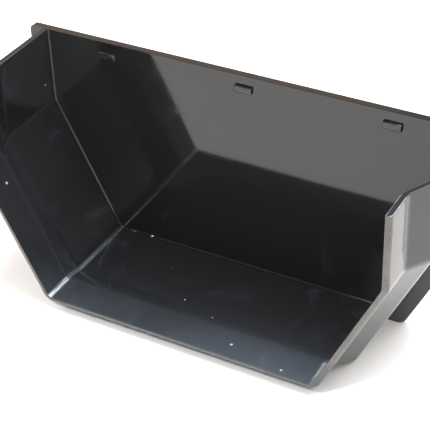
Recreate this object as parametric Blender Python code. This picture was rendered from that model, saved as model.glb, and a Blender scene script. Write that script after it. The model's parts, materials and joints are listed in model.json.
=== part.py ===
"""Feed hopper of a sluice box: an open trough with a stepped-in outlet collar and a flanged back panel.

Metres, +Z up.  The hopper is drawn with its floor level: X runs across it, the mouth is towards -Y and
the back panel closes it at +Y.  At the end the assembly is tipped the little that it tips when it stands
on a bench, on the back panel's lower edge and the trough's front bottom edge, with the origin at the
middle of the underside of its bounding box.
"""
import bmesh
import bpy
from math import atan2, cos, pi, radians, sin, tan
from mathutils import Matrix, Vector

# Driving dimensions
FLOOR_WIDTH = 0.250          # inside width of the flat floor
TOP_WIDTH = 0.363            # inside width between the upright upper walls
BEND_HEIGHT = 0.117          # where the sloping lower wall turns upright
RIM_HEIGHT = 0.183           # inside depth of the trough
WALL = 0.005                 # thickness of the moulded walls
PANEL = 0.0065               # thickness of the back panel
BODY_DEPTH = 0.069           # full-size stretch in front of the back panel
SHOULDER_DEPTH = 0.024       # stretch over which the section closes in
COLLAR_DEPTH = 0.030         # straight outlet collar in front of the shoulder
STEP = 0.0123                # how far the collar's section lies inside the trough's
GAP = 0.0003                 # clearance between neighbouring pieces

# Round edges and corners
CORNER_RADIUS = 0.0055       # inside, floor to lower wall
BEND_RADIUS = 0.010          # inside, lower wall to upper wall
SHOULDER_RADIUS = 0.012      # where the shoulder starts and ends
CORNER_STEPS = 8
BEND_STEPS = 4
SHOULDER_STEPS = 4
LIP_RADIUS = 0.0035          # outer edge of the mouth
LIP_STEPS = 4
EDGE_ROUND = 0.0006          # broken edge along rims and cut faces
EDGE_STEPS = 2
SHARP_ANGLE = radians(35)

# Bonded joint between the trough and the collar: a tongue, a third of the wall thick, in a groove
TONGUE_LENGTH = 0.006
TONGUE_INSIDE = WALL / 3     # through the wall, from its inner face
TONGUE_OUTSIDE = 2 * WALL / 3

# Bonding bead in the corner between the back panel and the trough
BEAD_RUN = 0.0014            # along the trough's wall
BEAD_RISE = 0.0019           # up the panel
BEAD_BLUNT = 0.0003          # its thin edges end blunt

# Back panel: the section's outline plus a flange
FLANGE_SIDE = 0.013          # beyond the upright walls
FLANGE_SLOPE = 0.015         # beyond the sloping walls
FLANGE_BOTTOM = 0.007        # below the floor
PANEL_CORNER = 0.010         # radius of the lower corners
PANEL_TOP_CORNER = 0.004
PANEL_CORNER_STEPS = 6

# Three lugs snapped through slots in the back panel, just below its rim
LUG_SPACING = 0.124
LUG_DROP = 0.0115            # from the rim down to a lug's centre
LUG_WIDTH = 0.0155
LUG_HEIGHT = 0.0058
LUG_REACH = 0.0022           # how far a lug stands out of the panel
SLOT_WIDTH = 0.0110
SLOT_HEIGHT = 0.0034
POCKET_DEPTH = 0.0020        # the slot widens behind, so the barb stays below the panel's rear face
BARB_SPREAD = 0.0009         # how far the barb laps over the slot's edge
LUG_EDGE = 0.0007
LUG_NAMES = ("left", "centre", "right")

# Derived
FLOOR_HALF = FLOOR_WIDTH / 2
TOP_HALF = TOP_WIDTH / 2
SLOPE = atan2(BEND_HEIGHT, TOP_HALF - FLOOR_HALF)
SEAM = BODY_DEPTH + SHOULDER_DEPTH + SHOULDER_RADIUS * tan(atan2(STEP, SHOULDER_DEPTH) / 2)
MOUTH = BODY_DEPTH + SHOULDER_DEPTH + COLLAR_DEPTH


def clear_scene():
    for old in list(bpy.data.objects):
        bpy.data.objects.remove(old, do_unlink=True)


def plastic(name, colour, roughness):
    """A plain moulded plastic."""
    material = bpy.data.materials.new(name)
    material.use_nodes = True
    shader = material.node_tree.nodes["Principled BSDF"]
    shader.inputs["Base Color"].default_value = (*colour, 1.0)
    shader.inputs["Roughness"].default_value = roughness
    shader.inputs["Metallic"].default_value = 0.0
    return material


def rounded_path(points, radii, steps):
    """An open 2-D path through points, with an arc of its own radius and step count at each inner one."""
    path = [Vector(points[0])]
    for index in range(1, len(points) - 1):
        corner = Vector(points[index])
        back = (Vector(points[index - 1]) - corner).normalized()
        ahead = (Vector(points[index + 1]) - corner).normalized()
        half_angle = back.angle(ahead) / 2
        radius = radii[index - 1]
        middle = (back + ahead).normalized()
        centre = corner + middle * (radius / sin(half_angle))
        first = corner + back * (radius / tan(half_angle)) - centre
        turn = first.angle_signed(-middle) * 2
        for step in range(steps[index - 1] + 1):
            path.append(centre + Matrix.Rotation(-turn * step / steps[index - 1], 2) @ first)
    path.append(Vector(points[-1]))
    return path


def section_outline(inset, skin):
    """The trough's section as (x, z) points from the left rim, under the floor, to the right rim.

    inset moves the whole section inwards; skin is the distance outwards through the wall from there.
    """
    out = skin - inset
    upright = TOP_HALF + out
    floor = -out
    # the sloping wall's line, moved out along its normal
    line_x = FLOOR_HALF + out * sin(SLOPE)
    line_z = -out * cos(SLOPE)
    corner_x = line_x + (floor - line_z) / tan(SLOPE)
    bend_z = line_z + (upright - line_x) * tan(SLOPE)
    right = [(0, floor), (corner_x, floor), (upright, bend_z), (upright, RIM_HEIGHT)]
    radii = (CORNER_RADIUS + skin, BEND_RADIUS + skin)
    half = rounded_path(right, radii, (CORNER_STEPS, BEND_STEPS))
    mirrored = [Vector((-point.x, point.y)) for point in reversed(half[1:])]
    return mirrored + half


def sweep_profile(name, profile):
    """A closed solid: each (depth, inset, skin) corner of the profile runs round the whole section."""
    solid = bmesh.new()
    rails = []
    for depth, inset, skin in profile:
        outline = section_outline(inset, skin)
        rails.append([solid.verts.new((point.x, -depth, point.y)) for point in outline])
    for rail, following in zip(rails, rails[1:] + rails[:1]):
        for index in range(len(rail) - 1):
            solid.faces.new((rail[index], rail[index + 1], following[index + 1], following[index]))
    solid.faces.new([rail[0] for rail in rails])
    solid.faces.new([rail[-1] for rail in reversed(rails)])
    return finish_mesh(name, solid)


def finish_mesh(name, solid):
    """Turns a bmesh into an object with its faces pointing out and its round stretches smooth."""
    bmesh.ops.recalc_face_normals(solid, faces=solid.faces)
    mesh = bpy.data.meshes.new(name)
    solid.to_mesh(mesh)
    solid.free()
    mesh.shade_smooth()
    mesh.set_sharp_from_angle(angle=SHARP_ANGLE)
    part = bpy.data.objects.new(name, mesh)
    bpy.context.collection.objects.link(part)
    return part


def break_edges(part):
    """Rounds the sharp edges as a moulding or a deburred edge is."""
    bevel = part.modifiers.new("broken edges", "BEVEL")
    bevel.width = EDGE_ROUND
    bevel.segments = EDGE_STEPS
    bevel.limit_method = "ANGLE"
    bevel.angle_limit = SHARP_ANGLE


def shoulder_path():
    """(depth, inset) from the back panel to the seam: straight, shoulder, straight again."""
    corners = [(0, 0), (BODY_DEPTH, 0), (BODY_DEPTH + SHOULDER_DEPTH, STEP), (MOUTH, STEP)]
    radii = (SHOULDER_RADIUS, SHOULDER_RADIUS)
    path = rounded_path(corners, radii, (SHOULDER_STEPS, SHOULDER_STEPS))
    return path[:-1]


def make_trough(material):
    """Floor, sloping walls, upright walls and shoulder: one moulding, open at the back and the front."""
    path = shoulder_path()
    inside = [(depth, inset, 0) for depth, inset in path]
    outside = [(depth, inset, WALL) for depth, inset in reversed(path)]
    tongue = [
        (SEAM, STEP, TONGUE_INSIDE),
        (SEAM + TONGUE_LENGTH, STEP, TONGUE_INSIDE),
        (SEAM + TONGUE_LENGTH, STEP, TONGUE_OUTSIDE),
        (SEAM, STEP, TONGUE_OUTSIDE),
    ]
    trough = sweep_profile("trough", inside + tongue + outside)
    break_edges(trough)
    trough.data.materials.append(material)
    return trough


def rounded_lip():
    """(depth, inset, skin) round the outer edge of the mouth, from its front face to its outside."""
    lip = []
    for step in range(LIP_STEPS + 1):
        angle = pi / 2 * step / LIP_STEPS
        depth = MOUTH - LIP_RADIUS * (1 - cos(angle))
        skin = WALL - LIP_RADIUS * (1 - sin(angle))
        lip.append((depth, STEP, skin))
    return lip


def make_collar(material):
    """The straight outlet collar, with the groove that the trough's tongue is bonded into."""
    start = SEAM + GAP
    groove_end = SEAM + TONGUE_LENGTH + GAP
    groove = [
        (start, STEP, TONGUE_OUTSIDE + GAP),
        (groove_end, STEP, TONGUE_OUTSIDE + GAP),
        (groove_end, STEP, TONGUE_INSIDE - GAP),
        (start, STEP, TONGUE_INSIDE - GAP),
    ]
    profile = [(start, STEP, 0), (MOUTH, STEP, 0), *rounded_lip(), (start, STEP, WALL), *groove]
    collar = sweep_profile("outlet_collar", profile)
    break_edges(collar)
    collar.data.materials.append(material)
    return collar


def make_bead(material):
    """The flat-faced bonding bead that runs round the corner between the panel and the trough."""
    profile = [
        (0, 0, -GAP),
        (0, 0, -BEAD_RISE),
        (BEAD_BLUNT, 0, -BEAD_RISE),
        (BEAD_RUN, 0, -GAP - BEAD_BLUNT),
        (BEAD_RUN, 0, -GAP),
    ]
    bead = sweep_profile("corner_bead", profile)
    bead.data.materials.append(material)
    return bead


def panel_outline():
    """The back panel's outline: upright sides, sloping lower sides and a flat lower edge."""
    side = TOP_HALF + WALL + FLANGE_SIDE
    bottom = -WALL - FLANGE_BOTTOM
    reach = WALL + FLANGE_SLOPE
    line_x = FLOOR_HALF + reach * sin(SLOPE)
    line_z = -reach * cos(SLOPE)
    corner_x = line_x + (bottom - line_z) / tan(SLOPE)
    bend_z = line_z + (side - line_x) * tan(SLOPE)
    right = [(0, bottom), (corner_x, bottom), (side, bend_z), (side, RIM_HEIGHT), (0, RIM_HEIGHT)]
    radii = (PANEL_CORNER, BEND_RADIUS, PANEL_TOP_CORNER)
    steps = (PANEL_CORNER_STEPS, BEND_STEPS, PANEL_CORNER_STEPS)
    half = rounded_path(right, radii, steps)
    return half[1:-1] + [Vector((-point.x, point.y)) for point in reversed(half[1:-1])]


def rectangle(width, height, y):
    """Corner points of an upright rectangle facing along Y."""
    return [
        (-width / 2, y, -height / 2),
        (width / 2, y, -height / 2),
        (width / 2, y, height / 2),
        (-width / 2, y, height / 2),
    ]


def loft_rectangles(rings):
    """A closed bmesh through upright rectangles, given from front to back."""
    solid = bmesh.new()
    loops = [[solid.verts.new(corner) for corner in ring] for ring in rings]
    for loop, following in zip(loops, loops[1:]):
        for index in range(len(loop)):
            after = (index + 1) % len(loop)
            solid.faces.new((loop[index], loop[after], following[after], following[index]))
    solid.faces.new(loops[0])
    solid.faces.new(loops[-1])
    return solid


def slot_cutter(name, x, z):
    """The stepped slot of one lug: narrow for the neck, wider behind for the barb."""
    step = GAP + PANEL - POCKET_DEPTH
    pocket_width = SLOT_WIDTH + 2 * (BARB_SPREAD + GAP)
    pocket_height = SLOT_HEIGHT + 2 * (BARB_SPREAD + GAP)
    rings = [
        rectangle(SLOT_WIDTH, SLOT_HEIGHT, -PANEL),
        rectangle(SLOT_WIDTH, SLOT_HEIGHT, step),
        rectangle(pocket_width, pocket_height, step),
        rectangle(pocket_width, pocket_height, 2 * PANEL),
    ]
    cutter = finish_mesh(name, loft_rectangles(rings))
    cutter.location = (x, 0, z)
    cutter.display_type = "WIRE"
    cutter.hide_render = True
    return cutter


def make_panel(material, cutters):
    """The flat back panel with its flange and three slots."""
    solid = bmesh.new()
    face = solid.faces.new([solid.verts.new((point.x, GAP, point.y)) for point in panel_outline()])
    swept = bmesh.ops.extrude_face_region(solid, geom=[face], use_keep_orig=True)
    moved = [item for item in swept["geom"] if isinstance(item, bmesh.types.BMVert)]
    bmesh.ops.translate(solid, vec=(0, PANEL, 0), verts=moved)
    panel = finish_mesh("back_panel", solid)
    for cutter in cutters:
        cut = panel.modifiers.new(cutter.name, "BOOLEAN")
        cut.operation = "DIFFERENCE"
        cut.solver = "EXACT"
        cut.object = cutter
    break_edges(panel)
    panel.data.materials.append(material)
    return panel


def make_lug(name, x, z, material):
    """A snap-in lug: a block in front of the panel, a neck through its slot and a barb in the pocket."""
    neck_width = SLOT_WIDTH - 2 * GAP
    neck_height = SLOT_HEIGHT - 2 * GAP
    barb_width = SLOT_WIDTH + 2 * BARB_SPREAD
    barb_height = SLOT_HEIGHT + 2 * BARB_SPREAD
    barb_start = 2 * GAP + PANEL - POCKET_DEPTH
    barb_end = PANEL
    rings = [
        rectangle(LUG_WIDTH, LUG_HEIGHT, -LUG_REACH),
        rectangle(LUG_WIDTH, LUG_HEIGHT, 0),
        rectangle(neck_width, neck_height, 0),
        rectangle(neck_width, neck_height, barb_start),
        rectangle(barb_width, barb_height, barb_start),
        rectangle(neck_width, neck_height, barb_end),
    ]
    solid = loft_rectangles(rings)
    front_edges = [edge for edge in solid.edges if any(vert.co.y < -LUG_EDGE for vert in edge.verts)]
    bmesh.ops.bevel(solid, geom=front_edges, offset=LUG_EDGE, segments=EDGE_STEPS, affect="EDGES", profile=0.5)
    lug = finish_mesh(name, solid)
    lug.location = (x, 0, z)
    lug.data.materials.append(material)
    return lug


def stand_up(parts, cutters):
    """Tips the assembly onto the edges that it stands on and centres its box over the origin."""
    stand = bpy.data.objects.new("stand", None)
    bpy.context.collection.objects.link(stand)
    for piece in parts + cutters:
        piece.parent = stand
    panel_foot = Vector((GAP, -WALL - FLANGE_BOTTOM))
    trough_foot = Vector((-BODY_DEPTH, -WALL))
    stand.rotation_euler.x = atan2(trough_foot.y - panel_foot.y, panel_foot.x - trough_foot.x)
    bpy.context.view_layer.update()
    graph = bpy.context.evaluated_depsgraph_get()
    corners = []
    for part in parts:
        shape = part.evaluated_get(graph)
        corners.extend(shape.matrix_world @ vertex.co for vertex in shape.data.vertices)
    middle_y = (min(point.y for point in corners) + max(point.y for point in corners)) / 2
    stand.location = (0, -middle_y, -min(point.z for point in corners))
    bpy.context.view_layer.update()


def main():
    clear_scene()
    gloss_black = plastic("gloss_black", (0.012, 0.013, 0.016), 0.08)
    collar_black = plastic("collar_black", (0.013, 0.015, 0.019), 0.10)
    panel_black = plastic("panel_black", (0.012, 0.012, 0.014), 0.07)
    bead_black = plastic("bead_black", (0.020, 0.021, 0.023), 0.15)
    lug_black = plastic("lug_black", (0.020, 0.020, 0.022), 0.30)
    lug_height = RIM_HEIGHT - LUG_DROP
    lug_places = [(-LUG_SPACING, lug_height), (0, lug_height), (LUG_SPACING, lug_height)]
    cutters = [slot_cutter(f"slot_{name}", x, z) for name, (x, z) in zip(LUG_NAMES, lug_places)]
    parts = [
        make_trough(gloss_black),
        make_collar(collar_black),
        make_panel(panel_black, cutters),
        make_bead(bead_black),
    ]
    parts += [make_lug(f"lug_{name}", x, z, lug_black) for name, (x, z) in zip(LUG_NAMES, lug_places)]
    stand_up(parts, cutters)


main()
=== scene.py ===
"""The looks of the sluice box feed hopper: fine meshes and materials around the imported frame.

Every piece is drawn in the hopper's own level frame, as the frame's parts were: the floor is level,
X runs across it, the mouth is towards -Y and the back panel's front face is at Y = 0.  The placement
read from the record's rear_face mount then tips the pieces as the standing hopper is tipped.
"""
import json
from math import atan2, cos, pi, radians, sin, tan

import bmesh
import bpy
from mathutils import Euler, Matrix, Vector


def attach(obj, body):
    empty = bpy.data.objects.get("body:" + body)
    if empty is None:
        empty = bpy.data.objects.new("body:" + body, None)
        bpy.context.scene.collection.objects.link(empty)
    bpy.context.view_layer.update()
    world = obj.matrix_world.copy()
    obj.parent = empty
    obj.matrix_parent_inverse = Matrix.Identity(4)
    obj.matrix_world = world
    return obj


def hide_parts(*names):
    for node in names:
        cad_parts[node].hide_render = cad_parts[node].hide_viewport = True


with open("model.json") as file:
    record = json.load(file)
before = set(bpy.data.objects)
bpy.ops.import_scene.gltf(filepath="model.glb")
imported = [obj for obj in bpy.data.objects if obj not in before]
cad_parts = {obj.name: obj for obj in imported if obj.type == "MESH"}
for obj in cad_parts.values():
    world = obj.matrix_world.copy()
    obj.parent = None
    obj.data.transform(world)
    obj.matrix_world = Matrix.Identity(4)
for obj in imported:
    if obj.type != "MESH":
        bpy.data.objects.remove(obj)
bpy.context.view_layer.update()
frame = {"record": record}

# Driving dimensions, in metres
FLOOR_WIDTH = 0.250
TOP_WIDTH = 0.363
BEND_HEIGHT = 0.117
RIM_HEIGHT = 0.183
WALL = 0.005
PANEL = 0.0065
BODY_DEPTH = 0.069
SHOULDER_DEPTH = 0.024
COLLAR_DEPTH = 0.030
STEP = 0.0123
GAP = 0.0003
SEAM_GAP = 0.0001            # the bonded seam as it shows, narrower than the frame's gap
REAR_FACE_HEIGHT = 0.085     # the rear_face mount's height above the floor

# Rounding, finer than in the frame
CORNER_RADIUS = 0.0055
BEND_RADIUS = 0.010
SHOULDER_RADIUS = 0.012
CORNER_STEPS = 14
BEND_STEPS = 10
SHOULDER_STEPS = 10
LIP_RADIUS = 0.0035
LIP_STEPS = 10
EDGE_ROUND = 0.0008
SEAM_ROUND = 0.0003
EDGE_STEPS = 4
SHARP_ANGLE = radians(35)

BEAD_RUN = 0.0014
BEAD_RISE = 0.0019
BEAD_BLUNT = 0.0003

FLANGE_SIDE = 0.013
FLANGE_SLOPE = 0.015
FLANGE_BOTTOM = 0.007
PANEL_CORNER = 0.010
PANEL_TOP_CORNER = 0.004
PANEL_CORNER_STEPS = 14

LUG_SPACING = 0.124
LUG_DROP = 0.0115
LUG_WIDTH = 0.0155
LUG_HEIGHT = 0.0058
LUG_REACH = 0.0022
SLOT_WIDTH = 0.0110
SLOT_HEIGHT = 0.0034
POCKET_DEPTH = 0.0020
BARB_SPREAD = 0.0009
LUG_EDGE = 0.0007

FLOOR_HALF = FLOOR_WIDTH / 2
TOP_HALF = TOP_WIDTH / 2
SLOPE = atan2(BEND_HEIGHT, TOP_HALF - FLOOR_HALF)
SEAM = BODY_DEPTH + SHOULDER_DEPTH + SHOULDER_RADIUS * tan(atan2(STEP, SHOULDER_DEPTH) / 2)
MOUTH = BODY_DEPTH + SHOULDER_DEPTH + COLLAR_DEPTH

# Colours of the plastic, of the marks on it and of the light painted on it
TROUGH_BLACK = (0.0090, 0.0093, 0.0102)
COLLAR_BLACK = (0.0090, 0.0094, 0.0104)
PANEL_BLACK = (0.0086, 0.0088, 0.0094)
# Bluish tone of the smears, and of the painted bluish reflection towards the mouth and the painted
# highlight in the rounded corners
SMEAR_AND_PAINTED_LIGHT_TONE = (0.042, 0.051, 0.064)
PANEL_HAZE = (0.030, 0.033, 0.037)
# Painted light: lifts the flange beyond the sloping walls, as if lit by the bright floor
PAINTED_FLANGE_LIGHT = (0.070, 0.071, 0.075)
# Painted highlight: bright streaks in the collar's rounded corners
PAINTED_STREAK_TONE = (0.42, 0.44, 0.48)
SCRATCH_TONE = (0.16, 0.17, 0.18)
DUST_TONE = (0.22, 0.23, 0.24)
# Painted glints: round bright dots
PAINTED_GLINT_TONE = (0.32, 0.33, 0.34)
# Painted reflections on the cut mouth face: warm tan higher up, bluish dark low down
PAINTED_WARM_EDGE = ((0.062, 0.058, 0.053), (0.095, 0.089, 0.081))
PAINTED_BLUISH_EDGE = ((0.028, 0.031, 0.036), (0.045, 0.049, 0.055))
BEAD_TONES = ((0.006, 0.006, 0.007), (0.010, 0.010, 0.012))
LUG_TONES = ((0.011, 0.011, 0.012), (0.020, 0.020, 0.022))

# How strongly the marks tint the plastic, and what each adds to its roughness
SMEAR_TINT = 0.24
SCRATCH_TINT = 0.12
DUST_TINT = 0.30
CLEAN_ROUGHNESS = 0.060
SMEAR_ROUGHNESS = 0.05
FILLET_ROUGHNESS = 0.5           # roughness added where the painted corner highlight is full
SCRATCH_ROUGHNESS = 0.10
DUST_ROUGHNESS = 0.40
MOUTH_FALLOFF = 2.8              # the higher, the closer the painted bluish light keeps to the mouth
PLASTIC_IOR = 1.5
BEAD_IOR = 1.36

# Camera and studio
LENS = 115.4
CAMERA_AZIMUTH = radians(28.06)
CAMERA_ELEVATION = radians(30.29)
CAMERA_ROLL = radians(1.15)
CAMERA_DISTANCE = 1.152
AIM = (-0.0296, 0.0, 0.0429)     # on the back panel's front face, in the hopper's own frame
GROUND_REACH = 3.0               # from the middle of the pale ground to its sides
GROUND_TONES = ((0.84, 0.84, 0.84), (0.87, 0.87, 0.87))
GROUND_ROUGHNESS = 0.6
HORIZON_TONE = (1.10, 1.08, 1.06)
ROOM_TONE = (0.42, 0.34, 0.27)
HORIZON_END = 0.02               # the horizon's tone holds up to here, as the Z part of the direction
ROOM_START = 0.20                # and the room's tone holds from here up
WHITE = (1.0, 1.0, 1.0)
OVERHEAD_TONE = (0.98, 0.99, 1.0)
SKY_TONE = (0.90, 0.95, 1.0)
WARM_TONE = (1.0, 0.72, 0.52)


# ---------------------------------------------------------------- placement

def mount(name):
    return next(entry for entry in frame["record"]["mounts"] if entry["name"] == name)


def hopper_placement():
    """The matrix from the hopper's level frame to the standing one."""
    rear = mount("rear_face")
    turn = Matrix.Rotation(atan2(rear["axis"][2], rear["axis"][1]), 4, "X")
    offset = Vector(rear["pos_m"]) - turn @ Vector((0, GAP + PANEL, REAR_FACE_HEIGHT))
    return Matrix.Translation(offset) @ turn


PLACEMENT = hopper_placement()


# ---------------------------------------------------------------- mesh helpers

def rounded_path(points, radii, steps):
    """An open 2-D path through points, with an arc of its own radius and step count at each inner one."""
    path = [Vector(points[0])]
    for index in range(1, len(points) - 1):
        corner = Vector(points[index])
        back = (Vector(points[index - 1]) - corner).normalized()
        ahead = (Vector(points[index + 1]) - corner).normalized()
        half_angle = back.angle(ahead) / 2
        radius = radii[index - 1]
        middle = (back + ahead).normalized()
        centre = corner + middle * (radius / sin(half_angle))
        first = corner + back * (radius / tan(half_angle)) - centre
        turn = first.angle_signed(-middle) * 2
        for step in range(steps[index - 1] + 1):
            path.append(centre + Matrix.Rotation(-turn * step / steps[index - 1], 2) @ first)
    path.append(Vector(points[-1]))
    return path


def section_outline(inset, skin):
    """The section as (x, z) points from rim to rim, moved in by inset and out through the wall by skin."""
    out = skin - inset
    upright = TOP_HALF + out
    line_x = FLOOR_HALF + out * sin(SLOPE)
    line_z = -out * cos(SLOPE)
    corner_x = line_x + (-out - line_z) / tan(SLOPE)
    bend_z = line_z + (upright - line_x) * tan(SLOPE)
    right = [(0, -out), (corner_x, -out), (upright, bend_z), (upright, RIM_HEIGHT)]
    radii = (CORNER_RADIUS + skin, BEND_RADIUS + skin)
    half = rounded_path(right, radii, (CORNER_STEPS, BEND_STEPS))
    mirrored = [Vector((-point.x, point.y)) for point in reversed(half[1:])]
    return mirrored + half


def add_object(name, solid, materials):
    bmesh.ops.recalc_face_normals(solid, faces=solid.faces)
    weight_edges(solid)
    mesh = bpy.data.meshes.new(name)
    solid.to_mesh(mesh)
    solid.free()
    mesh.shade_smooth()
    mesh.set_sharp_from_angle(angle=SHARP_ANGLE)
    piece = bpy.data.objects.new(name, mesh)
    bpy.context.collection.objects.link(piece)
    for material in materials:
        mesh.materials.append(material)
    return piece


def sweep_profile(name, profile, materials):
    """A closed solid: each (depth, inset, skin) corner of the profile runs round the whole section."""
    solid = bmesh.new()
    rails = []
    for depth, inset, skin in profile:
        outline = section_outline(inset, skin)
        rails.append([solid.verts.new((point.x, -depth, point.y)) for point in outline])
    for rail, following in zip(rails, rails[1:] + rails[:1]):
        for index in range(len(rail) - 1):
            solid.faces.new((rail[index], rail[index + 1], following[index + 1], following[index]))
    solid.faces.new([rail[0] for rail in rails])
    solid.faces.new([rail[-1] for rail in reversed(rails)])
    if len(materials) > 1:
        for face in solid.faces:
            if all(vert.co.y < SEAM_GAP + LIP_RADIUS - MOUTH for vert in face.verts):
                face.material_index = 1
    return add_object(name, solid, materials)


def weight_edges(solid):
    """Full rounding on the sharp edges, but little along the bonded seam."""
    weight = solid.edges.layers.float.new("bevel_weight_edge")
    for edge in solid.edges:
        at_seam = all(abs(vert.co.y + SEAM) < 2 * SEAM_GAP for vert in edge.verts)
        if edge.calc_face_angle(0) > SHARP_ANGLE:
            edge[weight] = SEAM_ROUND / EDGE_ROUND if at_seam else 1.0


def round_edges(piece, limit):
    """Rounds the edges that have a bevel weight (limit WEIGHT) or are sharp (limit ANGLE)."""
    bevel = piece.modifiers.new("round edges", "BEVEL")
    bevel.width = EDGE_ROUND
    bevel.segments = EDGE_STEPS
    bevel.limit_method = limit
    bevel.angle_limit = SHARP_ANGLE
    bevel.harden_normals = True


def apply_modifiers(piece):
    """Replaces a piece's mesh by the mesh that its modifiers make."""
    bpy.context.view_layer.update()
    graph = bpy.context.evaluated_depsgraph_get()
    mesh = bpy.data.meshes.new_from_object(piece.evaluated_get(graph))
    piece.modifiers.clear()
    piece.data = mesh


def place(piece, *nodes, slot):
    """Stands a piece drawn in the level frame where the frame's nodes are, and lets it stand for them."""
    piece.data.transform(PLACEMENT @ piece.matrix_world)
    piece.matrix_world = Matrix.Identity(4)
    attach(piece, "root")
    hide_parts(*nodes)


# ---------------------------------------------------------------- materials

# Where a Mix node that mixes colours has its colour sockets
MIX_LOW = 6
MIX_HIGH = 7
MIX_RESULT = 2


class Graph:
    """A few short calls for building a material's nodes."""

    def __init__(self, name):
        self.material = bpy.data.materials.new(name)
        self.material.use_nodes = True
        self.tree = self.material.node_tree
        self.shader = self.tree.nodes["Principled BSDF"]
        self.place = self.tree.nodes.new("ShaderNodeTexCoord").outputs["Object"]
        level = PLACEMENT.inverted()
        self.place = self.mapped(turn=level.to_euler(), offset=level.translation)

    def link(self, source, target):
        self.tree.links.new(source, target)

    def node(self, kind, **settings):
        made = self.tree.nodes.new(kind)
        for key, value in settings.items():
            setattr(made, key, value)
        return made

    def mapped(self, scale=(1, 1, 1), turn=(0, 0, 0), offset=(0, 0, 0)):
        mapping = self.node("ShaderNodeMapping")
        mapping.inputs["Scale"].default_value = scale
        mapping.inputs["Rotation"].default_value = turn
        mapping.inputs["Location"].default_value = offset
        self.link(self.place, mapping.inputs["Vector"])
        return mapping.outputs["Vector"]

    def noise(self, scale=1.0, detail=3.0, roughness=0.5, distortion=0.0, vector=None):
        made = self.node("ShaderNodeTexNoise")
        made.inputs["Scale"].default_value = scale
        made.inputs["Detail"].default_value = detail
        made.inputs["Roughness"].default_value = roughness
        made.inputs["Distortion"].default_value = distortion
        self.link(vector or self.place, made.inputs["Vector"])
        return made.outputs["Fac"]

    def specks(self, scale):
        """The distance to the nearest of many scattered points, 0 at a point."""
        made = self.node("ShaderNodeTexVoronoi")
        made.inputs["Scale"].default_value = scale
        self.link(self.place, made.inputs["Vector"])
        return made.outputs["Distance"]

    def span(self, value, low, high, to_low=0.0, to_high=1.0):
        """Eases from to_low to to_high while the value runs from low to high."""
        made = self.node("ShaderNodeMapRange", interpolation_type="SMOOTHSTEP")
        made.inputs["From Min"].default_value = low
        made.inputs["From Max"].default_value = high
        made.inputs["To Min"].default_value = to_low
        made.inputs["To Max"].default_value = to_high
        self.link(value, made.inputs["Value"])
        return made.outputs["Result"]

    def math(self, operation, *values):
        made = self.node("ShaderNodeMath", operation=operation)
        for socket, value in zip(made.inputs, values):
            if isinstance(value, (int, float)):
                socket.default_value = value
            else:
                self.link(value, socket)
        return made.outputs["Value"]

    def product(self, first, *others):
        for other in others:
            first = self.math("MULTIPLY", first, other)
        return first

    def total(self, first, *others):
        for other in others:
            first = self.math("ADD", first, other)
        return first

    def mix(self, factor, low, high):
        made = self.node("ShaderNodeMix", data_type="RGBA")
        sockets = (made.inputs["Factor"], made.inputs[MIX_LOW], made.inputs[MIX_HIGH])
        for socket, value in zip(sockets, (factor, low, high)):
            if isinstance(value, tuple):
                socket.default_value = (*value, 1.0)
            else:
                self.link(value, socket)
        return made.outputs[MIX_RESULT]

    def bump(self, height, distance, strength, below=None):
        made = self.node("ShaderNodeBump")
        made.inputs["Distance"].default_value = distance
        made.inputs["Strength"].default_value = strength
        self.link(height, made.inputs["Height"])
        if below:
            self.link(below, made.inputs["Normal"])
        return made.outputs["Normal"]

    def facing(self, axis):
        """How squarely the surface faces along an axis, -1 to 1."""
        split = self.node("ShaderNodeSeparateXYZ")
        self.link(self.node("ShaderNodeNewGeometry").outputs["Normal"], split.inputs["Vector"])
        return split.outputs[axis]

    def along(self, axis):
        """The place along an axis of the level frame."""
        split = self.node("ShaderNodeSeparateXYZ")
        self.link(self.place, split.inputs["Vector"])
        return split.outputs[axis]


def smear_mask(graph):
    """Broad faint smears."""
    clouds = graph.noise(scale=22, detail=5, roughness=0.6, distortion=1.2)
    return graph.span(clouds, low=0.54, high=0.80)


def patchiness(graph):
    """A slow change from patch to patch, that weakens or strengthens a mark."""
    return graph.span(graph.noise(scale=7), low=0.30, high=0.75, to_low=0.55, to_high=1.15)


def scratch_mask(graph):
    """Two sets of fine scratches, one nearly from back to mouth and one nearly across the hopper."""
    forward_space = graph.mapped(scale=(700, 12, 700), turn=(0, 0, 0.3))
    across_space = graph.mapped(scale=(14, 600, 600), turn=(0, 0.3, 0.2))
    forward = graph.span(graph.noise(detail=2, vector=forward_space), low=0.74, high=0.79)
    across = graph.span(graph.noise(detail=2, vector=across_space), low=0.75, high=0.80)
    return graph.math("MAXIMUM", forward, across)


def dust_mask(graph):
    """Fine dust specks in a few scattered patches."""
    grains = graph.span(graph.specks(scale=420), low=0.14, high=0.06)
    patches = graph.span(graph.noise(scale=130, detail=1), low=0.66, high=0.70)
    return graph.product(grains, patches)


def glint_dot_mask(graph):
    """A few round painted glints, as bright dots."""
    return graph.span(graph.specks(scale=38), low=0.048, high=0.036)


def painted_mouth_light_mask(graph):
    """Where the bluish light is painted: it grows towards the mouth and towards +X, and is strongest low
    down.
    """
    forward = graph.span(graph.along("Y"), low=0.0, high=-MOUTH - COLLAR_DEPTH)
    forward = graph.math("POWER", forward, MOUTH_FALLOFF)
    # Painted light: the bluish reflection is painted stronger towards +X
    rightward = graph.span(graph.along("X"), low=-0.02, high=FLOOR_HALF, to_low=0.72, to_high=1.75)
    downward = graph.span(graph.along("Z"), low=0.012, high=0.045, to_low=1.0, to_high=0.22)
    return graph.product(forward, rightward, downward)


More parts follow.
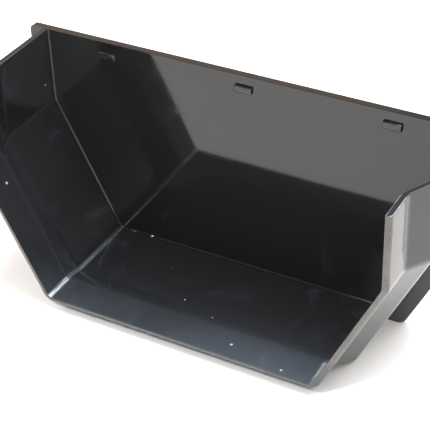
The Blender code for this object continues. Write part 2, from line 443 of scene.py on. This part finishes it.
def fillet_mask(graph):
    """The rounded corners between the floor and the sloping walls, fading towards the back: where the
    highlight is painted.
    """
    sideways = graph.math("ABSOLUTE", graph.facing("X"))
    off_floor = graph.span(sideways, low=0.1, high=0.4)
    off_wall = graph.span(sideways, low=0.88, high=0.6)
    upward = graph.span(graph.facing("Z"), low=0.35, high=0.5)
    forward = graph.span(graph.along("Y"), low=0.0, high=-BODY_DEPTH, to_low=0.3, to_high=1.0)
    return graph.product(off_floor, off_wall, upward, forward)


def highlight_streak_mask(graph):
    """Short streaks that run from back to mouth, that break up the painted highlight in the collar's
    corners.
    """
    stretched = graph.mapped(scale=(900, 70, 900))
    return graph.span(graph.noise(detail=2, vector=stretched), low=0.25, high=0.70)


def flange_mask(graph):
    """1 on the flange beyond the sloping walls, 0 inside them; it places the painted flange light."""
    sideways = graph.product(graph.math("ABSOLUTE", graph.along("X")), sin(SLOPE))
    upwards = graph.product(graph.along("Z"), cos(SLOPE))
    edge = FLOOR_HALF * sin(SLOPE)
    return graph.span(graph.math("SUBTRACT", sideways, upwards), low=edge + WALL, high=edge + 2 * WALL)


def gloss_plastic(name, black, smear_and_light_tone, painted_mouth_light_strength=1.0, painted_corner_highlight=0.9, painted_corner_streak=0.0, painted_flange_light=0.0,
                  painted_glints=0.8):
    """Glossy black moulding: faint smears, dust and fine scratches, and painted light: a bluish painted
    reflection towards the mouth, painted highlights in the rounded corners, painted light on the flange and
    painted glints.
    """
    graph = Graph(name)
    shader = graph.shader
    smears = smear_mask(graph)
    patches = patchiness(graph)
    scratches = scratch_mask(graph)
    dust = dust_mask(graph)
    fillet = fillet_mask(graph)
    # Painted bluish reflection towards the mouth, on top of the real smears
    painted_mouth_light = graph.product(painted_mouth_light_mask(graph), painted_mouth_light_strength, patches)
    # The rounded corners get a painted highlight: a lighter bluish band in the base colour
    smears_and_painted_light = graph.total(painted_mouth_light, graph.product(smears, SMEAR_TINT), graph.product(fillet, painted_corner_highlight))
    tone = graph.mix(smears_and_painted_light, black, smear_and_light_tone)
    for mask, mark_tone in (
        # Painted light on the flange beyond the sloping walls
        (graph.product(flange_mask(graph), painted_flange_light, patches), PAINTED_FLANGE_LIGHT),
        # Painted highlight streaks in the rounded corners
        (graph.product(fillet, highlight_streak_mask(graph), painted_corner_streak), PAINTED_STREAK_TONE),
        (graph.product(scratches, SCRATCH_TINT), SCRATCH_TONE),
        (graph.product(dust, DUST_TINT), DUST_TONE),
        # Painted glints: a few bright dots
        (graph.product(glint_dot_mask(graph), painted_glints), PAINTED_GLINT_TONE),
    ):
        tone = graph.mix(mask, tone, mark_tone)
    graph.link(tone, shader.inputs["Base Color"])
    rough = graph.total(
        graph.product(smears, SMEAR_ROUGHNESS),
        CLEAN_ROUGHNESS,
        graph.product(fillet, painted_corner_highlight * FILLET_ROUGHNESS),
        graph.product(scratches, SCRATCH_ROUGHNESS),
        graph.product(dust, DUST_ROUGHNESS),
    )
    graph.link(rough, shader.inputs["Roughness"])
    wavy = graph.bump(graph.noise(scale=14, detail=1), distance=0.0004, strength=0.4)
    marked = graph.bump(scratches, distance=0.00002, strength=0.5, below=wavy)
    graph.link(marked, shader.inputs["Normal"])
    shader.inputs["IOR"].default_value = PLASTIC_IOR
    return graph.material


def cut_edge(name):
    """The trimmed face of the mouth: duller than the moulding and finely ribbed from the trimming, with
    painted reflections on it: bluish dark low down, warm tan higher up.
    """
    graph = Graph(name)
    shader = graph.shader
    ribs = graph.noise(detail=2, vector=graph.mapped(scale=(700, 700, 90)))
    patches = graph.span(graph.noise(scale=50, detail=4), low=0.35, high=0.7)
    # Painted reflections: the tone goes from bluish dark low down to warm tan higher up
    height = graph.span(graph.along("Z"), low=STEP, high=4 * STEP)
    tone = graph.mix(height, graph.mix(patches, *PAINTED_BLUISH_EDGE), graph.mix(patches, *PAINTED_WARM_EDGE))
    graph.link(tone, shader.inputs["Base Color"])
    rough = graph.span(ribs, low=0.3, high=0.7, to_low=0.26, to_high=0.36)
    graph.link(rough, shader.inputs["Roughness"])
    graph.link(graph.bump(ribs, distance=0.00004, strength=0.4), shader.inputs["Normal"])
    return graph.material


def bead_plastic(name):
    """The bonding bead: gloss black, slightly lumpy along its run."""
    graph = Graph(name)
    shader = graph.shader
    lumps = graph.noise(scale=90)
    graph.link(graph.mix(lumps, *BEAD_TONES), shader.inputs["Base Color"])
    rough = graph.span(lumps, low=0.3, high=0.7, to_low=0.05, to_high=0.10)
    graph.link(rough, shader.inputs["Roughness"])
    graph.link(graph.bump(lumps, distance=0.0001, strength=0.15), shader.inputs["Normal"])
    shader.inputs["IOR"].default_value = BEAD_IOR
    return graph.material


def lug_plastic(name):
    """The lugs: black, a little duller than the panel, with rubbed patches."""
    graph = Graph(name)
    shader = graph.shader
    grain = graph.noise(scale=900, detail=2)
    rubbed = graph.span(graph.noise(scale=200), low=0.45, high=0.75)
    graph.link(graph.mix(rubbed, *LUG_TONES), shader.inputs["Base Color"])
    rough = graph.span(rubbed, low=0.0, high=1.0, to_low=0.13, to_high=0.20)
    graph.link(rough, shader.inputs["Roughness"])
    graph.link(graph.bump(grain, distance=0.00001, strength=0.3), shader.inputs["Normal"])
    return graph.material


# ---------------------------------------------------------------- pieces

def shoulder_path():
    corners = [(0, 0), (BODY_DEPTH, 0), (BODY_DEPTH + SHOULDER_DEPTH, STEP), (MOUTH, STEP)]
    radii = (SHOULDER_RADIUS, SHOULDER_RADIUS)
    return rounded_path(corners, radii, (SHOULDER_STEPS, SHOULDER_STEPS))[:-1]


def make_trough(skin_material):
    path = shoulder_path()
    inside = [(depth, inset, 0) for depth, inset in path]
    outside = [(depth, inset, WALL) for depth, inset in reversed(path)]
    trough = sweep_profile("trough_shell", inside + outside, [skin_material])
    round_edges(trough, "WEIGHT")
    apply_modifiers(trough)
    place(trough, "trough", slot="trough_plastic")


def rounded_lip():
    """(depth, inset, skin) round the outer edge of the mouth, from its front face to its outside."""
    lip = []
    for step in range(LIP_STEPS + 1):
        angle = pi / 2 * step / LIP_STEPS
        depth = MOUTH - LIP_RADIUS * (1 - cos(angle))
        skin = WALL - LIP_RADIUS * (1 - sin(angle))
        lip.append((depth, STEP, skin))
    return lip


def make_collar(skin_material, edge_material):
    start = SEAM + SEAM_GAP
    inner_lip = (MOUTH, STEP, 0)
    profile = [(start, STEP, 0), inner_lip, *rounded_lip(), (start, STEP, WALL)]
    collar = sweep_profile("collar_shell", profile, [skin_material, edge_material])
    round_edges(collar, "WEIGHT")
    apply_modifiers(collar)
    place(collar, "outlet_collar", slot="collar_plastic")


def make_bead(material):
    profile = [
        (0, 0, -GAP),
        (0, 0, -BEAD_RISE),
        (BEAD_BLUNT, 0, -BEAD_RISE),
        (BEAD_RUN, 0, -GAP - BEAD_BLUNT),
        (BEAD_RUN, 0, -GAP),
    ]
    bead = sweep_profile("bonding_bead", profile, [material])
    place(bead, "corner_bead", slot="bead_plastic")


def panel_outline():
    side = TOP_HALF + WALL + FLANGE_SIDE
    bottom = -WALL - FLANGE_BOTTOM
    reach = WALL + FLANGE_SLOPE
    line_x = FLOOR_HALF + reach * sin(SLOPE)
    line_z = -reach * cos(SLOPE)
    corner_x = line_x + (bottom - line_z) / tan(SLOPE)
    bend_z = line_z + (side - line_x) * tan(SLOPE)
    right = [(0, bottom), (corner_x, bottom), (side, bend_z), (side, RIM_HEIGHT), (0, RIM_HEIGHT)]
    radii = (PANEL_CORNER, BEND_RADIUS, PANEL_TOP_CORNER)
    steps = (PANEL_CORNER_STEPS, BEND_STEPS, PANEL_CORNER_STEPS)
    half = rounded_path(right, radii, steps)
    return half[1:-1] + [Vector((-point.x, point.y)) for point in reversed(half[1:-1])]


def rectangle(width, height, y):
    return [
        (-width / 2, y, -height / 2),
        (width / 2, y, -height / 2),
        (width / 2, y, height / 2),
        (-width / 2, y, height / 2),
    ]


def loft_rectangles(rings):
    """A closed bmesh through upright rectangles, given from front to back."""
    solid = bmesh.new()
    loops = [[solid.verts.new(corner) for corner in ring] for ring in rings]
    for loop, following in zip(loops, loops[1:]):
        for index in range(len(loop)):
            after = (index + 1) % len(loop)
            solid.faces.new((loop[index], loop[after], following[after], following[index]))
    solid.faces.new(loops[0])
    solid.faces.new(loops[-1])
    return solid


def slot_cutter(x, z):
    step = GAP + PANEL - POCKET_DEPTH
    pocket_width = SLOT_WIDTH + 2 * (BARB_SPREAD + GAP)
    pocket_height = SLOT_HEIGHT + 2 * (BARB_SPREAD + GAP)
    rings = [
        rectangle(SLOT_WIDTH, SLOT_HEIGHT, -PANEL),
        rectangle(SLOT_WIDTH, SLOT_HEIGHT, step),
        rectangle(pocket_width, pocket_height, step),
        rectangle(pocket_width, pocket_height, 2 * PANEL),
    ]
    cutter = add_object("slot_cutter", loft_rectangles(rings), [])
    cutter.location = (x, 0, z)
    return cutter


def make_panel(skin_material, lug_places):
    solid = bmesh.new()
    face = solid.faces.new([solid.verts.new((point.x, GAP, point.y)) for point in panel_outline()])
    swept = bmesh.ops.extrude_face_region(solid, geom=[face], use_keep_orig=True)
    moved = [item for item in swept["geom"] if isinstance(item, bmesh.types.BMVert)]
    bmesh.ops.translate(solid, vec=(0, PANEL, 0), verts=moved)
    panel = add_object("panel_sheet", solid, [skin_material])
    cutters = [slot_cutter(x, z) for x, z in lug_places]
    for cutter in cutters:
        cut = panel.modifiers.new("slot", "BOOLEAN")
        cut.operation = "DIFFERENCE"
        cut.solver = "EXACT"
        cut.object = cutter
    round_edges(panel, "ANGLE")
    apply_modifiers(panel)
    for cutter in cutters:
        bpy.data.objects.remove(cutter, do_unlink=True)
    place(panel, "back_panel", slot="panel_plastic")


def make_lug(name, x, z, material):
    neck_width = SLOT_WIDTH - 2 * GAP
    neck_height = SLOT_HEIGHT - 2 * GAP
    barb_start = 2 * GAP + PANEL - POCKET_DEPTH
    rings = [
        rectangle(LUG_WIDTH, LUG_HEIGHT, -LUG_REACH),
        rectangle(LUG_WIDTH, LUG_HEIGHT, 0),
        rectangle(neck_width, neck_height, 0),
        rectangle(neck_width, neck_height, barb_start),
        rectangle(SLOT_WIDTH + 2 * BARB_SPREAD, SLOT_HEIGHT + 2 * BARB_SPREAD, barb_start),
        rectangle(neck_width, neck_height, PANEL),
    ]
    solid = loft_rectangles(rings)
    front_edges = [edge for edge in solid.edges if any(vert.co.y < -LUG_EDGE for vert in edge.verts)]
    bmesh.ops.bevel(solid, geom=front_edges, offset=LUG_EDGE, segments=EDGE_STEPS, profile=0.5,
                    affect="EDGES")
    lug = add_object(f"{name}_block", solid, [material])
    lug.location = (x, 0, z)
    bpy.context.view_layer.update()
    place(lug, name, slot="lug_plastic")


def make_pieces():
    trough_skin = gloss_plastic("trough_gloss", TROUGH_BLACK, SMEAR_AND_PAINTED_LIGHT_TONE)
    # The collar also gets painted highlight streaks in its corners
    collar_skin = gloss_plastic("collar_gloss", COLLAR_BLACK, SMEAR_AND_PAINTED_LIGHT_TONE, painted_corner_streak=0.8)
    # The panel gets painted light on its flange, and none of the mouth's painted light, corner highlights
    # or glints
    panel_skin = gloss_plastic("panel_gloss", PANEL_BLACK, PANEL_HAZE, painted_mouth_light_strength=0.0, painted_corner_highlight=0.0,
                               painted_flange_light=1.0, painted_glints=0.0)
    lug_skin = lug_plastic("lug_gloss")
    lug_height = RIM_HEIGHT - LUG_DROP
    places = {"lug_left": -LUG_SPACING, "lug_centre": 0, "lug_right": LUG_SPACING}
    make_trough(trough_skin)
    make_collar(collar_skin, cut_edge("cut_edge"))
    make_bead(bead_plastic("bead"))
    make_panel(panel_skin, [(x, lug_height) for x in places.values()])
    for name, x in places.items():
        make_lug(name, x, lug_height, lug_skin)


# ---------------------------------------------------------------- studio

def direction(azimuth, elevation):
    """The way out from the hopper; azimuth runs from the mouth's side (-Y) towards +X, in radians."""
    flat = cos(elevation)
    return Vector((sin(azimuth) * flat, -cos(azimuth) * flat, sin(elevation)))


def aim_along(item, outward):
    """Turns a camera or light to look back along the way out to it."""
    item.rotation_mode = "QUATERNION"
    item.rotation_quaternion = (-outward).to_track_quat("-Z", "Y")


def make_camera():
    data = bpy.data.cameras.new("camera")
    data.lens = LENS
    data.clip_start = 0.01
    data.clip_end = 50
    camera = bpy.data.objects.new("camera", data)
    bpy.context.collection.objects.link(camera)
    outward = direction(CAMERA_AZIMUTH, CAMERA_ELEVATION)
    camera.location = PLACEMENT @ Vector(AIM) + outward * CAMERA_DISTANCE
    aim_along(camera, outward)
    camera.rotation_quaternion = camera.rotation_quaternion @ Euler((0, 0, CAMERA_ROLL)).to_quaternion()
    bpy.context.scene.camera = camera


def area_light(name, azimuth, elevation, distance, width, height, power, tone=WHITE):
    """A soft rectangular light that faces the hopper; its azimuth and elevation are in degrees."""
    data = bpy.data.lights.new(name, "AREA")
    data.shape = "RECTANGLE"
    data.size = width
    data.size_y = height
    data.energy = power
    data.color = tone
    light = bpy.data.objects.new(name, data)
    bpy.context.collection.objects.link(light)
    outward = direction(radians(azimuth), radians(elevation))
    light.location = outward * distance
    aim_along(light, outward)


def make_lights():
    area_light("overhead", azimuth=105, elevation=74, distance=3.4, width=2.4, height=2.4, power=255,
               tone=OVERHEAD_TONE)
    area_light("front_fill", azimuth=7, elevation=33, distance=2.0, width=1.6, height=0.5, power=8,
               tone=SKY_TONE)
    area_light("left_fill", azimuth=-80, elevation=40, distance=2.4, width=1.6, height=0.9, power=20)
    area_light("right_fill", azimuth=60, elevation=35, distance=2.4, width=1.6, height=0.9, power=14)
    area_light("back_fill", azimuth=-152, elevation=28, distance=2.6, width=4.6, height=1.2, power=7,
               tone=WARM_TONE)
    area_light("high_lamp", azimuth=-6, elevation=46, distance=1.9, width=0.14, height=0.04, power=20)


def make_floor():
    """The pale ground that the hopper stands on."""
    solid = bmesh.new()
    bmesh.ops.create_grid(solid, x_segments=2, y_segments=2, size=GROUND_REACH)
    graph = Graph("pale_floor")
    graph.link(graph.mix(graph.noise(scale=40), *GROUND_TONES), graph.shader.inputs["Base Color"])
    graph.shader.inputs["Roughness"].default_value = GROUND_ROUGHNESS
    floor = add_object("floor", solid, [graph.material])


def make_world():
    """A warm room that is brighter at the horizon."""
    world = bpy.data.worlds.new("room")
    bpy.context.scene.world = world
    world.use_nodes = True
    tree = world.node_tree
    background = tree.nodes["Background"]
    place = tree.nodes.new("ShaderNodeTexCoord")
    split = tree.nodes.new("ShaderNodeSeparateXYZ")
    tree.links.new(place.outputs["Generated"], split.inputs["Vector"])
    ramp = tree.nodes.new("ShaderNodeValToRGB")
    stops = ((HORIZON_END, HORIZON_TONE), (ROOM_START, ROOM_TONE))
    for element, (position, tone) in zip(ramp.color_ramp.elements, stops):
        element.position = position
        element.color = (*tone, 1)
    tree.links.new(split.outputs["Z"], ramp.inputs["Fac"])
    tree.links.new(ramp.outputs["Color"], background.inputs["Color"])


def make_studio():
    make_camera()
    make_floor()
    make_world()
    make_lights()
    bpy.context.scene.view_settings.view_transform = "Standard"


make_pieces()
make_studio()
